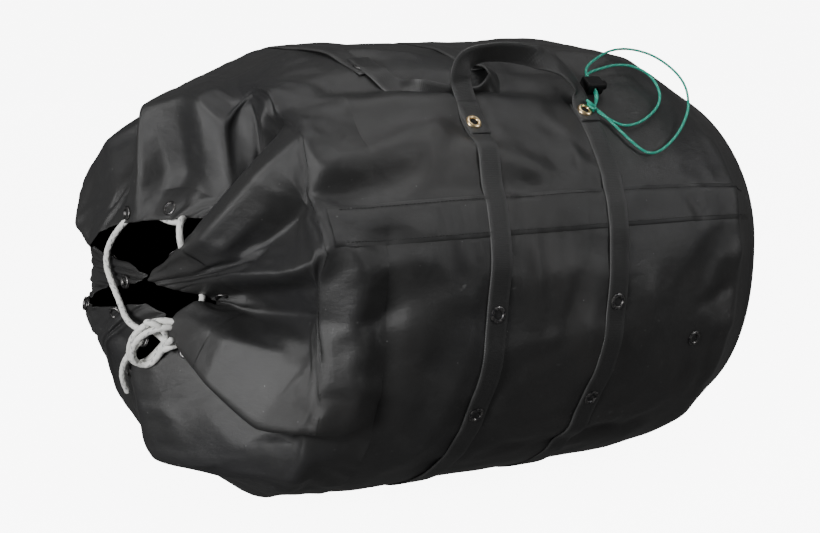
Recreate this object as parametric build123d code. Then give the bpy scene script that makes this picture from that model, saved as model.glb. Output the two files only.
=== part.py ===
from build123d import *
import os
from math import copysign, cos, radians, sin, tan

# Large rope storage bag lying on its side, mm. +X runs from the gathered mouth to the closed base,
# -Y is the near side with the lengthwise lap seam, +Z is up. The origin is bottom centre.
# Angles round the bag are in degrees: 0 is the near side, 90 the top, 180 the far side, -90 the ground.

# Fabric wall
WALL = 2.0
HALF_WIDTH = 272.0
RISE = 235.0
DROP = 267.0
TOP_POWER = 2.08
UNDER_POWER = 2.3
FLAT_ANGLE = 14.0

# Webbing
STRAP_WIDTH = 25.0
STRAP_THICKNESS = 1.5
STRAP_GAP = 1.25
LAP_GAP = 0.15
LAP_THICKNESS = 0.9
LAP_LOW, LAP_HIGH = 10.5, 20.5
HANDLE_THICKNESS = 2.5

# Eyelets
EYELET_HOLE = 10.0
EYELET_OUTER = 18.0
EYELET_RIM = 1.3
EYELET_SLEEVE = 0.6
HEM_EYELET_OUTER = 16.0

# The resting bag stands on its two strap bands, so the wall is held this far off the ground.
STRAP_LIFT = STRAP_GAP + STRAP_THICKNESS
FLAT_SHARE = sin(radians(90.0 - FLAT_ANGLE)) ** (2.0 / UNDER_POWER)
AXIS_Z = DROP * FLAT_SHARE + STRAP_LIFT

# x, then the shares of HALF_WIDTH, DROP and RISE that the section has there
NECK_X = -216.0
BASE_X = 346.0
END_X = 366.0
BODY_STATIONS = (
    (NECK_X, 0.925, 0.970, 0.955),
    (-116.0, 0.985, 1.000, 0.990),
    (-66.0, 1.000, 1.000, 1.000),
    (134.0, 1.000, 1.000, 1.000),
    (226.0, 0.990, 1.000, 0.985),
    (294.0, 0.950, 0.965, 0.920),
    (BASE_X, 0.860, 0.870, 0.800),
    (END_X, 0.780, 0.780, 0.700),
)

# Gathered neck: centre of each ring, tilt of its plane about Z, half width, drop, rise
NECK_RINGS = (
    ((-278.0, -4.0, 262.0), 12.0, 200.0, 212.0, 193.0),
    ((-298.0, -2.0, 238.0), 25.0, 116.0, 86.0, 86.0),
)
MOUTH = (-298.0, -30.0)
MOUTH_TILT = 25.0
HEM_DEPTH = 24.0
HEM_THICKNESS = 2.4

# The hem's gathered line in the mouth's plane: across towards the near side, then height.
# An eyelet sits at each point that is marked True.
HEM_LINE = (
    (-120.0, 276.0, False), (-96.0, 296.0, False), (-49.0, 312.0, True), (0.0, 318.0, False),
    (30.0, 319.0, True), (66.0, 316.0, False), (80.0, 302.0, False), (62.0, 290.0, False),
    (22.0, 278.0, True), (-3.0, 262.0, False), (2.0, 248.0, False), (30.0, 244.0, False),
    (62.0, 236.0, True), (66.0, 222.0, False), (42.0, 212.0, False), (22.0, 190.0, True),
    (0.0, 170.0, False), (-24.0, 156.0, False), (-46.0, 158.0, True), (-52.0, 172.0, False),
    (-30.0, 188.0, False), (2.0, 202.0, True), (12.0, 216.0, False), (-12.0, 224.0, False),
    (-56.0, 218.0, True), (-94.0, 208.0, False), (-122.0, 206.0, True), (-134.0, 214.0, False),
    (-124.0, 224.0, False), (-88.0, 236.0, False), (-44.0, 243.0, True), (-20.0, 252.0, False),
    (-22.0, 264.0, False), (-46.0, 263.0, False), (-84.0, 256.0, True), (-116.0, 256.0, False),
)

# Strap bands: (angle, x) from the near handle, under the bag and over the top to the far handle
BAND_ROUTES = (
    ((46.0, -20.0), (0.0, -28.0), (-30.0, -36.0), (-90.0, -48.0), (-180.0, -84.0), (-235.0, -118.0),
     (-262.0, -131.0), (-280.0, -124.0), (-299.0, -98.0)),
    ((46.0, 128.0), (0.0, 126.0), (-30.0, 113.0), (-90.0, 102.0), (-180.0, 66.0), (-235.0, 30.0),
     (-262.0, 18.0), (-280.0, 22.0), (-299.0, 36.0)),
)
ROOT_ANGLES = (42.0, -295.5)
BAND_EYELET_ANGLES = (-5.5, -29.5, -174.5, -150.5)
VENT = (246.0, -17.0)

# Handles, as rise above the hinge line against x
NEAR_HINGE_ANGLE = 47.5
FAR_HINGE_ANGLE = 59.5
HINGE_LIFT = 6.5
NEAR_ARCH = ((-20.0, 4.0), (-26.0, 20.0), (-24.0, 42.0), (-8.0, 58.0), (19.0, 65.0), (48.0, 66.0),
             (80.0, 65.0), (104.0, 57.0), (118.0, 41.0), (126.0, 20.0), (128.0, 4.0))
FAR_ARCH = ((-95.0, 4.0), (-91.0, 14.0), (-77.0, 25.0), (-54.0, 30.0), (-26.0, 31.0), (0.0, 30.0),
            (22.0, 27.0), (36.0, 20.0), (42.0, 11.0), (40.0, 4.0))

# Drawcord, threaded through the hem eyelets
DRAWCORD = 7.0
DRAWCORD_ROUTE = (
    (-317, -41, 197), (-327, -24, 201), (-330, -3, 208), (-328, 16, 219), (-330, 28, 233), (-332, 38, 246),
    (-333, 46, 258), (-332, 48, 272), (-329, 42, 286), (-325, 30, 299), (-320, 16, 311), (-313, 3, 319),
    (-306, -11, 322), (-298, -26, 319), (-290, -40, 314), (-283, -54, 315), (-286, -67, 321),
    (-294, -79, 321), (-299, -87, 311), (-299, -89, 298), (-293, -83, 286), (-288, -71, 281),
    (-287, -57, 279), (-286, -46, 273), (-281, -43, 262), (-274, -51, 252), (-270, -66, 246),
    (-271, -80, 238), (-279, -86, 227), (-291, -81, 217), (-302, -68, 209), (-311, -54, 202),
)
LOW_TAIL_ROUTE = ((-323, -33, 190), (-330, -23, 178), (-335, -11, 164), (-335, 0, 149), (-331, 8, 135),
                  (-324, 13, 122))
CUT_TAIL_ROUTE = ((-266, -84, 203), (-280, -79, 195), (-292, -71, 190), (-302, -63, 185), (-307, -53, 180))
KNOT_CENTRE = (-326.7, -32.3, 187.0)
KNOT_HALF_LENGTH, KNOT_RADIUS = 34.0, 12.5

# Lanyard, two loops of thin cord that run from its knot through the cord lock and back
LANYARD = 2.5
OUTER_LOOP_ROUTE = (
    (139, -204, 430), (147, -199, 437), (155, -188.6, 446.7), (155, -170.6, 462.5),
    (159, -161, 467), (168, -151, 474), (189, -139, 482), (219, -128, 492), (255, -121, 493),
    (282, -137, 483), (292, -172, 458), (279, -199, 430), (255, -217, 409), (229, -232, 394),
    (203, -240, 382), (184, -242, 381), (169, -234, 394), (158, -222, 409), (149, -211, 422), (141, -204, 430),
)
INNER_LOOP_ROUTE = (
    (139, -203, 430), (146, -198, 434), (155, -186.8, 444.7), (155, -168.8, 460.5),
    (160, -160, 464), (172, -154, 468), (190, -148, 471), (212, -144, 475), (238, -144, 474),
    (254, -157, 464), (253, -177, 446), (239, -194, 432), (217, -208, 422), (193, -217, 413),
    (170, -220, 410), (153, -215, 417), (142, -206, 427),
)
LANYARD_KNOT_SEAT = (137.0, 43.3, 9.2)
LANYARD_KNOT_RADIUS = 4.5

# Cord lock: a sprung plunger in a moulded block, both crossed by the lanyard's hole
LOCK_SEAT = (155.0, 51.0, 8.5)
LOCK_SIZE = (24.0, 18.0, 15.0)
LOCK_HOLE = 7.2
PLUNGER_RADIUS = 5.2
PLUNGER_PLAY = 0.1
PLUNGER_INNER, PLUNGER_OUTER = -5.5, 18.0
SLOT_LOW, SLOT_HIGH = -3.0, 6.0
BORE_END = -10.0
SPRING_WIRE = 0.5
SPRING_RADIUS = 4.2
SPRING_TURNS = 2.5


def ring_point(half_width, drop, rise, angle):
    """Across (towards the near side) and up, on a rounded section with a flat underside."""
    angle = (angle + 90.0) % 360.0 - 90.0
    from_ground = angle + 90.0 if angle < 90.0 else angle - 270.0
    if abs(from_ground) < FLAT_ANGLE:
        corner = half_width * sin(radians(FLAT_ANGLE)) ** (2.0 / UNDER_POWER)
        return corner * from_ground / FLAT_ANGLE, -drop * FLAT_SHARE
    c, s = cos(radians(angle)), sin(radians(angle))
    power = TOP_POWER if s >= 0.0 else UNDER_POWER
    height = rise if s >= 0.0 else drop
    return (half_width * copysign(abs(c) ** (2.0 / power), c),
            height * copysign(abs(s) ** (2.0 / power), s))


def ring_wire(centre, tilt, half_width, drop, rise, inset=0.0):
    """Closed section standing in a plane that is turned about Z by tilt."""
    across_x, across_y = sin(radians(tilt)), -cos(radians(tilt))
    start, end, count = FLAT_ANGLE - 90.0, 270.0 - FLAT_ANGLE, 30
    points = []
    for i in range(count + 1):
        across, up = ring_point(half_width - inset, drop - inset, rise - inset,
                                start + (end - start) * i / count)
        points.append((centre[0] + across * across_x, centre[1] + across * across_y, centre[2] + up))
    return Wire([Spline(*points), Line(points[-1], points[0])])


def shares_at(x):
    """Half width, drop and rise of the body at x."""
    for low, high in zip(BODY_STATIONS, BODY_STATIONS[1:]):
        if x <= high[0]:
            part = (x - low[0]) / (high[0] - low[0])
            shares = [a + (b - a) * part for a, b in zip(low[1:], high[1:])]
            return HALF_WIDTH * shares[0], DROP * shares[1], RISE * shares[2]


def wall_point(x, angle):
    """Point on the outside of the wall."""
    across, up = ring_point(*shares_at(x), angle)
    return Vector(x, -across, AXIS_Z + up)


def outward(x, angle):
    """Unit normal of the wall, pointing out of the bag."""
    along = wall_point(x + 3.0, angle) - wall_point(x - 3.0, angle)
    round_it = wall_point(x, angle + 1.5) - wall_point(x, angle - 1.5)
    return round_it.cross(along).normalized() * -1.0


def lifted(x, angle, lift):
    return wall_point(x, angle) + outward(x, angle) * lift


def body_wire(x, inset=0.0):
    half_width, drop, rise = shares_at(x)
    return ring_wire((x, 0.0, AXIS_Z), 0.0, half_width, drop, rise, inset)


def body_panel():
    """Wrap-round wall of the bag, from the neck seam to the base seam."""
    stations = [s[0] for s in BODY_STATIONS if s[0] <= BASE_X]
    outer = Solid.make_loft([body_wire(x) for x in stations], True)
    inner = Solid.make_loft([body_wire(x, WALL) for x in stations], True)
    vent = Cylinder((EYELET_HOLE + 2 * EYELET_SLEEVE) / 2, 20).move(seat(lifted(*VENT, 0), outward(*VENT)))
    return outer - inner - vent


def base_disc():
    """Rounded end with its seam against the wall, a shallow dish."""
    outer = Solid.make_loft([body_wire(BASE_X), body_wire(END_X)], True)
    floor_x = END_X - 3.0
    inner = Solid.make_loft([body_wire(BASE_X, WALL), body_wire(floor_x, WALL)], True)
    return outer - inner


def neck_skirt():
    """Gathered fabric from the neck seam to the mouth, as a plain open dome."""
    outer, inner = [body_wire(NECK_X)], [body_wire(NECK_X, WALL)]
    for (x, y, z), *shape in NECK_RINGS:
        outer.append(ring_wire((x, y, z), *shape))
        inner.append(ring_wire((x + 1.5 * WALL, y, z), *shape, WALL))
    inner.append(ring_wire((x - 2 * WALL, y, z), *shape, WALL))
    return Solid.make_loft(outer, True) - Solid.make_loft(inner, True)


def mouth_vector(across, up):
    """Direction in the mouth's plane."""
    return Vector(across * sin(radians(MOUTH_TILT)), -across * cos(radians(MOUTH_TILT)), up)


MOUTH_AXIS = Vector(-cos(radians(MOUTH_TILT)), -sin(radians(MOUTH_TILT)), 0.0)


def mouth_point(across, height):
    return Vector(*MOUTH, 0.0) + mouth_vector(across, height)


def hem_curve():
    return Spline(*[mouth_point(a, h) for a, h, _ in HEM_LINE], periodic=True)


def hem_seats():
    """Centre and outward normal of each hem eyelet."""
    curve = hem_curve()
    seats = []
    for across, height, eyelet in HEM_LINE:
        if eyelet:
            point = mouth_point(across, height)
            tangent = curve.tangent_at(curve.param_at_point(point))
            seats.append((point, tangent.cross(MOUTH_AXIS).normalized()))
    return seats


def mouth_hem():
    """Doubled edge of the mouth, following the gathers, with a hole for each eyelet."""
    curve = hem_curve()
    samples = 120

    def side(offset):
        points = []
        for i in range(samples):
            tangent = curve % (i / samples)
            points.append((curve @ (i / samples)) + tangent.cross(MOUTH_AXIS).normalized() * offset)
        return Wire([Spline(*points, periodic=True)])
    one, other = side(HEM_THICKNESS / 2), side(-HEM_THICKNESS / 2)
    outer, inner = (one, other) if Face(one).area > Face(other).area else (other, one)
    band = extrude(Face(outer, [inner]), HEM_DEPTH / 2, dir=MOUTH_AXIS, both=True)
    for point, normal in hem_seats():
        band -= Cylinder(EYELET_HOLE / 2 + EYELET_SLEEVE, 8).move(seat(point, normal))
    return band


def seat(point, normal):
    """Place something with its Z along the normal."""
    return Location(Plane(origin=point, z_dir=normal))


def eyelet(point, normal, outer, low, high):
    """Rolled rim over a sleeve that runs from low to high along the normal."""
    hole, sleeve = EYELET_HOLE / 2, EYELET_HOLE / 2 + EYELET_SLEEVE
    rim_r = outer / 2
    profile = Polyline((hole, low), (sleeve, low), (sleeve, high), (rim_r, high), (rim_r, high + 0.5),
                       (rim_r - 1.2, high + EYELET_RIM), (hole + 0.8, high + EYELET_RIM), (hole, high + 0.4),
                       close=True)
    ring = revolve(Plane.XZ * make_face(profile), Axis.Z)
    return ring.move(seat(point, normal))


def washer(point, normal, outer, high):
    """Back washer under a hem eyelet, its lower face away from the hem."""
    ring = Cylinder(outer / 2, 0.8) - Cylinder(EYELET_HOLE / 2 + EYELET_SLEEVE, 0.8)
    return ring.move(seat(point + normal * (high - 0.4), normal))


def band_x(route, angle):
    """x of a strap band at an angle, smoothly through its route's points."""
    for (a0, x0), (a1, x1) in zip(route, route[1:]):
        if angle >= a1:
            part = (a0 - angle) / (a0 - a1)
            return x0 + (x1 - x0) * part


def band_frame(route, angle):
    """Wall point, outward normal and width direction of a band at an angle."""
    x = sum(band_x(route, min(max(angle + d, route[-1][0]), route[0][0])) for d in (-8, -4, 0, 4, 8)) / 5
    ahead, behind = max(angle - 2.0, route[-1][0]), min(angle + 2.0, route[0][0])
    run = wall_point(band_x(route, ahead), ahead) - wall_point(band_x(route, behind), behind)
    normal = outward(x, angle)
    return wall_point(x, angle), normal, normal.cross(run).normalized()


def rectangle_wire(centre, width_dir, thick_dir, width, thickness):
    w, t = width_dir * (width / 2), thick_dir * (thickness / 2)
    corners = (centre - w - t, centre + w - t, centre + w + t, centre - w + t)
    return Wire(Polyline(*corners, close=True).edges())


def band_angles(route):
    """Stations along a band, close together, with one at each edge of the flat underside."""
    stops = [route[0][0], FLAT_ANGLE - 90.0, -90.0 - FLAT_ANGLE, route[-1][0]]
    angles = [stops[0]]
    for start, end in zip(stops, stops[1:]):
        steps = max(2, round(abs(end - start) / 4.0))
        angles += [start + (end - start) * i / steps for i in range(1, steps + 1)]
    return angles


def band_holes():
    """Angle of every eyelet on a band."""
    return ROOT_ANGLES + BAND_EYELET_ANGLES


def strap_band(route):
    """Webbing stitched round the bag from one handle to the other."""
    wires = []
    for angle in band_angles(route):
        point, normal, width_dir = band_frame(route, angle)
        centre = point + normal * (STRAP_GAP + STRAP_THICKNESS / 2)
        wires.append(rectangle_wire(centre, width_dir, normal, STRAP_WIDTH, STRAP_THICKNESS))
    band = Solid.make_loft(wires, True)
    for angle in band_holes():
        point, normal, _ = band_frame(route, angle)
        band -= Cylinder(EYELET_HOLE / 2 + EYELET_SLEEVE, 8).move(seat(point + normal * STRAP_GAP, normal))
    return band


def band_eyelet(route, angle):
    point, normal, _ = band_frame(route, angle)
    return eyelet(point, normal, EYELET_OUTER, 0.3, STRAP_LIFT + 0.3)


def lap_seam():
    """Overlapped edge of the wrap-round wall, stitched along the near side."""
    wires = []
    for x in [s[0] for s in BODY_STATIONS if s[0] <= BASE_X]:
        angles = [LAP_LOW + (LAP_HIGH - LAP_LOW) * i / 4 for i in range(5)]
        low = [lifted_flat(x, a, LAP_GAP) for a in angles]
        high = [lifted_flat(x, a, LAP_GAP + LAP_THICKNESS) for a in reversed(angles)]
        wires.append(Wire(Polyline(*low, *high, close=True).edges()))
    return Solid.make_loft(wires, True)


def lifted_flat(x, angle, lift):
    """Point off the wall, kept in the plane of its section."""
    normal = outward(min(max(x, NECK_X + 4.0), BASE_X - 4.0), angle)
    in_plane = Vector(0.0, normal.Y, normal.Z).normalized()
    return wall_point(x, angle) + in_plane * lift


def hinge_line(arch, angle):
    """Y and Z of a handle's fold line, which runs along X."""
    point = lifted(sum(x for x, _ in arch) / len(arch), angle, HINGE_LIFT)
    return point.Y, point.Z


def handle(arch, hinge_angle, rise_dir):
    """Webbing loop that stands flat on its legs and turns on edge across the top."""
    y, z = hinge_line(arch, hinge_angle)
    plane_normal = Vector(1, 0, 0).cross(rise_dir).normalized()
    curve = Spline(*[Vector(x, y, z) + rise_dir * r for x, r in arch])
    count = 36
    wires = []
    for i in range(count + 1):
        along = i / count
        tangent = (curve % along).normalized()
        ease = min(1.0, min(along, 1.0 - along) / 0.34)
        turn = radians(90.0) * ease * ease * (3.0 - 2.0 * ease)
        in_plane = plane_normal.cross(tangent)
        width_dir = in_plane * cos(turn) + plane_normal * sin(turn)
        wires.append(rectangle_wire(curve @ along, width_dir, tangent.cross(width_dir),
                                    STRAP_WIDTH, HANDLE_THICKNESS))
    return Solid.make_loft(wires, True)


def near_rise():
    return Vector(0.0, 0.0, 1.0)


def far_rise():
    """The far handle lies over towards the near side, just above the top of the wall."""
    return Vector(0.0, -cos(radians(10.0)), -sin(radians(10.0)))


def vent_eyelet():
    return eyelet(wall_point(*VENT), outward(*VENT), EYELET_OUTER, -WALL, 0.3)


def tube(route, diameter):
    """Round cord along straight runs joined by arcs as large as the runs allow."""
    points = [Vector(*p) for p in route]
    radii = []
    for before, here, after in zip(points, points[1:], points[2:]):
        run_in, run_out = here - before, after - here
        half_turn = radians(run_in.get_angle(run_out)) / 2
        radii.append(0.45 * min(run_in.length, run_out.length) / tan(half_turn))
    print("radii", [round(r, 1) for r in radii])
    path = FilletPolyline(*points, radius=radii)
    section = Plane(origin=path @ 0, z_dir=path % 0) * Circle(diameter / 2)
    cord = sweep(section, path=path)
    print("volume", round(cord.volume), "section times length", round(section.area * path.length))
    return cord


def slug(centre, half_length, radius, axis):
    """Rounded lump with the outer size of the knot."""
    lump = Cylinder(radius, 2 * half_length)
    return fillet(lump.edges(), 0.9 * radius).move(seat(Vector(*centre), axis))


def lock_place():
    """The lock's frame: X along its plunger, Z out of the wall."""
    x, angle, lift = LOCK_SEAT
    normal = outward(x, angle)
    normal = Vector(0.0, normal.Y, normal.Z).normalized()
    return Location(Plane(origin=wall_point(x, angle) + normal * lift, x_dir=(1, 0, 0), z_dir=normal))


def along_x(radius, low, high):
    return Plane.YZ.offset(low) * extrude(Circle(radius), high - low)


def cord_lock_body():
    block = Box(*LOCK_SIZE)
    block = fillet(block.edges(), 3.0)
    block -= along_x(PLUNGER_RADIUS + PLUNGER_PLAY, BORE_END, LOCK_SIZE[0])
    block -= Rot(90, 0, 0) * Cylinder(LOCK_HOLE / 2, 2 * LOCK_SIZE[1])
    return block.move(lock_place())


def cord_lock_plunger():
    button = along_x(PLUNGER_RADIUS, PLUNGER_INNER, PLUNGER_OUTER)
    button = fillet(button.edges().sort_by(Axis.X)[-1], 2.0)
    middle = (SLOT_LOW + SLOT_HIGH) / 2
    slot = SlotOverall(SLOT_HIGH - SLOT_LOW, LOCK_HOLE)
    button -= Pos(middle, 0, 0) * (Rot(90, 0, 0) * extrude(slot, 20.0, both=True))
    return button.move(lock_place())


def cord_lock_spring():
    length = PLUNGER_INNER - BORE_END - SPRING_WIRE
    path = Helix(length / SPRING_TURNS, length, SPRING_RADIUS)
    wire = sweep(Plane(origin=path @ 0, z_dir=path % 0) * Circle(SPRING_WIRE / 2), path=path)
    return (Pos(BORE_END + SPRING_WIRE / 2, 0, 0) * (Rot(0, 90, 0) * wire)).move(lock_place())


def write(name, *solids):
    shape = solids[0] if len(solids) == 1 else Compound(children=list(solids))
    export_step(shape, f"parts/{name}.step")


def main():
    os.makedirs("parts", exist_ok=True)
    write("body_panel", body_panel())
    write("base_disc", base_disc())
    write("neck_skirt", neck_skirt())
    write("mouth_hem", mouth_hem())
    write("lap_seam", lap_seam())
    write("strap_band_1", strap_band(BAND_ROUTES[0]))
    write("strap_band_2", strap_band(BAND_ROUTES[1]))
    write("handle_near", handle(NEAR_ARCH, NEAR_HINGE_ANGLE, near_rise()))
    write("handle_far", handle(FAR_ARCH, FAR_HINGE_ANGLE, far_rise()))
    for number, route in enumerate(BAND_ROUTES, 1):
        write(f"brass_eyelet_near_{number}", band_eyelet(route, ROOT_ANGLES[0]))
        write(f"brass_eyelet_far_{number}", band_eyelet(route, ROOT_ANGLES[1]))
        write(f"dark_eyelets_band_{number}", *[band_eyelet(route, a) for a in BAND_EYELET_ANGLES])
    write("vent_eyelet", vent_eyelet())
    seats = hem_seats()
    half = HEM_THICKNESS / 2
    write("hem_eyelets", *[eyelet(p, n, HEM_EYELET_OUTER, -half - 0.8, half + 0.1) for p, n in seats])
    write("drawcord", tube(DRAWCORD_ROUTE, DRAWCORD))
    write("drawcord_low_tail", tube(LOW_TAIL_ROUTE, DRAWCORD))
    write("drawcord_cut_tail", tube(CUT_TAIL_ROUTE, DRAWCORD))
    write("drawcord_knot", slug(KNOT_CENTRE, KNOT_HALF_LENGTH, KNOT_RADIUS, mouth_vector(0.8, 0.6)))
    write("lanyard_outer_loop", tube(OUTER_LOOP_ROUTE, LANYARD))
    write("lanyard_inner_loop", tube(INNER_LOOP_ROUTE, LANYARD))
    write("lanyard_knot", Sphere(LANYARD_KNOT_RADIUS).move(Location(lifted(*LANYARD_KNOT_SEAT))))
    write("cord_lock_body", cord_lock_body())
    write("cord_lock_plunger", cord_lock_plunger())
    write("cord_lock_spring", cord_lock_spring())
    write("hem_washers", *[washer(p, n, HEM_EYELET_OUTER, -half - 0.1) for p, n in seats])


main()
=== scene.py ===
import bpy
import itertools
import math
import numpy as np
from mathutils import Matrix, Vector
from mathutils.bvhtree import BVHTree


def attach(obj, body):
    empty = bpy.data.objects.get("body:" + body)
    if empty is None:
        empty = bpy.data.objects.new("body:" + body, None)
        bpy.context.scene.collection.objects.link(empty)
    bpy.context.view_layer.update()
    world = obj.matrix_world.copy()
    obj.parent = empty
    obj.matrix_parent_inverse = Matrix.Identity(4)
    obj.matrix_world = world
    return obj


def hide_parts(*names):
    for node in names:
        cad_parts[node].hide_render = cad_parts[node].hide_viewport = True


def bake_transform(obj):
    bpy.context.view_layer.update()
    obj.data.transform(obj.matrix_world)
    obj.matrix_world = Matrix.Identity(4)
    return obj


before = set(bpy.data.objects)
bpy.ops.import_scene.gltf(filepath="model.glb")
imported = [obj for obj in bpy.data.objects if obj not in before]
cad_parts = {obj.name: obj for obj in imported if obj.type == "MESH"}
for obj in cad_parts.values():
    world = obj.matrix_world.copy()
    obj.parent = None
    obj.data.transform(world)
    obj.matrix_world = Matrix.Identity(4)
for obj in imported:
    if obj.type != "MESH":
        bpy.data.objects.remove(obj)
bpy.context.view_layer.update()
SCENE = bpy.context.scene


# ---- camera

TARGET = Vector((0.025, 0.0, 0.236))
BACK = Vector((-0.4938, -0.8554, 0.1564)).normalized()
DISTANCE = 1.787
camera_data = bpy.data.cameras.new("camera")
camera_data.sensor_width = 36.0
camera_data.lens = 65.85
camera = bpy.data.objects.new("camera", camera_data)
SCENE.collection.objects.link(camera)
camera.location = TARGET + BACK * DISTANCE
camera.rotation_euler = BACK.to_track_quat("Z", "Y").to_euler()
SCENE.camera = camera


# ---- mesh helpers

def new_object(name, points, faces, material=None):
    """Smooth-shaded mesh object from points in metres."""
    mesh = bpy.data.meshes.new(name)
    mesh.from_pydata([tuple(v) for v in points], [], faces)
    mesh.update()
    mesh.polygons.foreach_set("use_smooth", [True] * len(mesh.polygons))
    obj = bpy.data.objects.new(name, mesh)
    SCENE.collection.objects.link(obj)
    if material:
        mesh.materials.append(material)
    return obj


def grid_faces(rows, columns, start=0):
    """Faces of a grid of points whose rows close on themselves."""
    faces = []
    for r in range(rows - 1):
        for c in range(columns):
            d = (c + 1) % columns
            a = start + r * columns
            faces.append((a + c, a + d, a + columns + d, a + columns + c))
    return faces


def unwrap(obj, columns, uv_at):
    """Surface coordinates from uv_at(row, column). The last face of a closed row ends at column = columns."""
    layer = obj.data.uv_layers.new(name="UVMap")
    for polygon in obj.data.polygons:
        spots = [divmod(obj.data.loops[i].vertex_index, columns) for i in polygon.loop_indices]
        held = [column for _, column in spots]
        wraps = max(held) - min(held) > columns / 2
        for i, (row, column) in zip(polygon.loop_indices, spots):
            layer.data[i].uv = uv_at(row, columns if wraps and column == 0 else column)


def soften(obj):
    """Round the mesh by one subdivision."""
    smooth = obj.modifiers.new("smooth", "SUBSURF")
    smooth.levels = smooth.render_levels = 1


def unit(vectors):
    """The same directions at length one."""
    return vectors / np.maximum(np.linalg.norm(vectors, axis=-1, keepdims=True), 1e-9)


def distances(line):
    """How far along a line each of its points is."""
    return np.concatenate([[0], np.cumsum(np.linalg.norm(np.diff(line, axis=0), axis=1))])


def at_distance(want, run, values):
    """Values at the wanted distances, where run gives each value's own distance."""
    return np.stack([np.interp(want, run, values[:, i]) for i in range(3)], axis=-1)


def curve_point(p0, p1, p2, p3, t):
    """Point a share t of the way from p1 to p2 on the smooth curve through all four."""
    return 0.5 * (2 * p1 + (p2 - p0) * t + (2 * p0 - 5 * p1 + 4 * p2 - p3) * t**2
                  + (3 * p1 - p0 - 3 * p2 + p3) * t**3)


def step(low, high, value):
    """Smooth step from 0 at low to 1 at high."""
    t = np.clip((np.asarray(value, float) - low) / (high - low), 0, 1)
    return t * t * (3 - 2 * t)


AXIS_PRIMES = (73856093, 19349663, 83492791)
SPREAD, LEVELS, SEED_STEP = 2654435761, 4294967296, 17.31


def noise3(points, scale, seed):
    """Smooth value noise in -1..1 at each point, from a hash of the cells round it."""
    p = np.asarray(points) * scale + seed * SEED_STEP
    cell = np.floor(p).astype(np.int64)
    f = p - cell
    f = f * f * (3 - 2 * f)
    total = np.zeros(len(p))
    for corner in itertools.product((0, 1), repeat=3):
        n = (cell + corner) * AXIS_PRIMES
        value = (((n[:, 0] ^ n[:, 1] ^ n[:, 2]) * SPREAD) % LEVELS) / (LEVELS / 2) - 1.0
        share = np.where(corner, f, 1 - f)
        total += value * share[:, 0] * share[:, 1] * share[:, 2]
    return total


# ---- cords

def nurbs_line(name, route):
    """The smooth line of a route given in millimetres."""
    curve = bpy.data.curves.new(name + "_line", "CURVE")
    curve.dimensions = "3D"
    spline = curve.splines.new("NURBS")
    spline.points.add(len(route) - 1)
    for point, (x, y, z) in zip(spline.points, route):
        point.co = (x / 1000, y / 1000, z / 1000, 1)
    spline.order_u = 3
    spline.use_endpoint_u = True
    spline.resolution_u = 24
    holder = bpy.data.objects.new(name + "_line", curve)
    SCENE.collection.objects.link(holder)
    bpy.context.view_layer.update()
    mesh = bpy.data.meshes.new_from_object(holder.evaluated_get(bpy.context.evaluated_depsgraph_get()))
    line = np.array([v.co for v in mesh.vertices])
    bpy.data.objects.remove(holder)
    bpy.data.meshes.remove(mesh)
    return line


def even(line, pitch):
    """The same line with points about pitch apart."""
    run = distances(line)
    count = max(4, int(round(run[-1] / pitch)))
    return at_distance(np.linspace(0, run[-1], count + 1), run, line)


def frames_along(line):
    """Two normals at each point, turning as little as possible."""
    tangents = unit(np.gradient(line, axis=0))
    normals = [unit(np.cross(tangents[0], (0.3, 0.2, 0.93)))]
    for t in tangents[1:]:
        normals.append(unit(normals[-1] - t * np.dot(normals[-1], t)))
    normals = np.array(normals)
    return normals, np.cross(tangents, normals)


ROUNDED_END, END_SHARE = 0.32, 0.06


def rope_mesh(name, line, diameter, material, strands, spiral, relief, sides, pitch):
    """Braided cord with rounded ends: two sets of strands cross over each other in opposite spirals."""
    line = even(line, pitch)
    a, b = frames_along(line)
    run = distances(line)
    count = len(line)
    points = []
    for i in range(count):
        end = min(i, count - 1 - i) * pitch
        cap = math.sqrt(max(0.0, 1 - max(0.0, 1 - end / (diameter * ROUNDED_END)) ** 2))
        for j in range(sides):
            turn = j / sides
            right = strands * turn + run[i] / spiral
            left = strands * turn - run[i] / spiral
            bump = max(abs(math.cos(math.pi * right)), abs(math.cos(math.pi * left)))
            radius = (diameter / 2) * max(cap, END_SHARE) * (1 - relief + relief * bump)
            angle = 2 * math.pi * turn
            points.append(line[i] + (a[i] * math.cos(angle) + b[i] * math.sin(angle)) * radius)
    faces = grid_faces(count, sides)
    faces.append(tuple(reversed(range(sides))))
    faces.append(tuple(range((count - 1) * sides, count * sides)))
    obj = new_object(name, points, faces, material)
    unwrap(obj, sides, lambda row, column: (column / sides, run[row]))
    return obj


# ---- cord routes, in millimetres

DRAWCORD = 0.007
LANYARD = 0.003
DRAWCORD_ROUTE = (
    (-317, -41, 197), (-327, -24, 201), (-330, -3, 208), (-328, 16, 219), (-330, 28, 233), (-332, 38, 246),
    (-333, 46, 258), (-332, 48, 272), (-329, 42, 286), (-325, 30, 299), (-320, 16, 311), (-313, 3, 319),
    (-306, -11, 322), (-298, -26, 319), (-290, -40, 314), (-283, -54, 315), (-286, -67, 321),
    (-294, -79, 321), (-299, -87, 311), (-299, -89, 298), (-293, -83, 286), (-288, -71, 281),
    (-287, -57, 279), (-286, -46, 273), (-281, -43, 262), (-274, -51, 252), (-270, -66, 246),
    (-271, -80, 238), (-279, -86, 227), (-291, -81, 217), (-302, -68, 209), (-311, -54, 202),
)
LOW_TAIL_ROUTE = ((-323, -33, 190), (-330, -23, 178), (-335, -11, 164), (-335, 0, 149), (-331, 8, 135),
                  (-324, 13, 122))
CUT_TAIL_ROUTE = ((-266, -84, 203), (-280, -79, 195), (-292, -71, 190), (-302, -63, 185), (-307, -53, 180))
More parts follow.
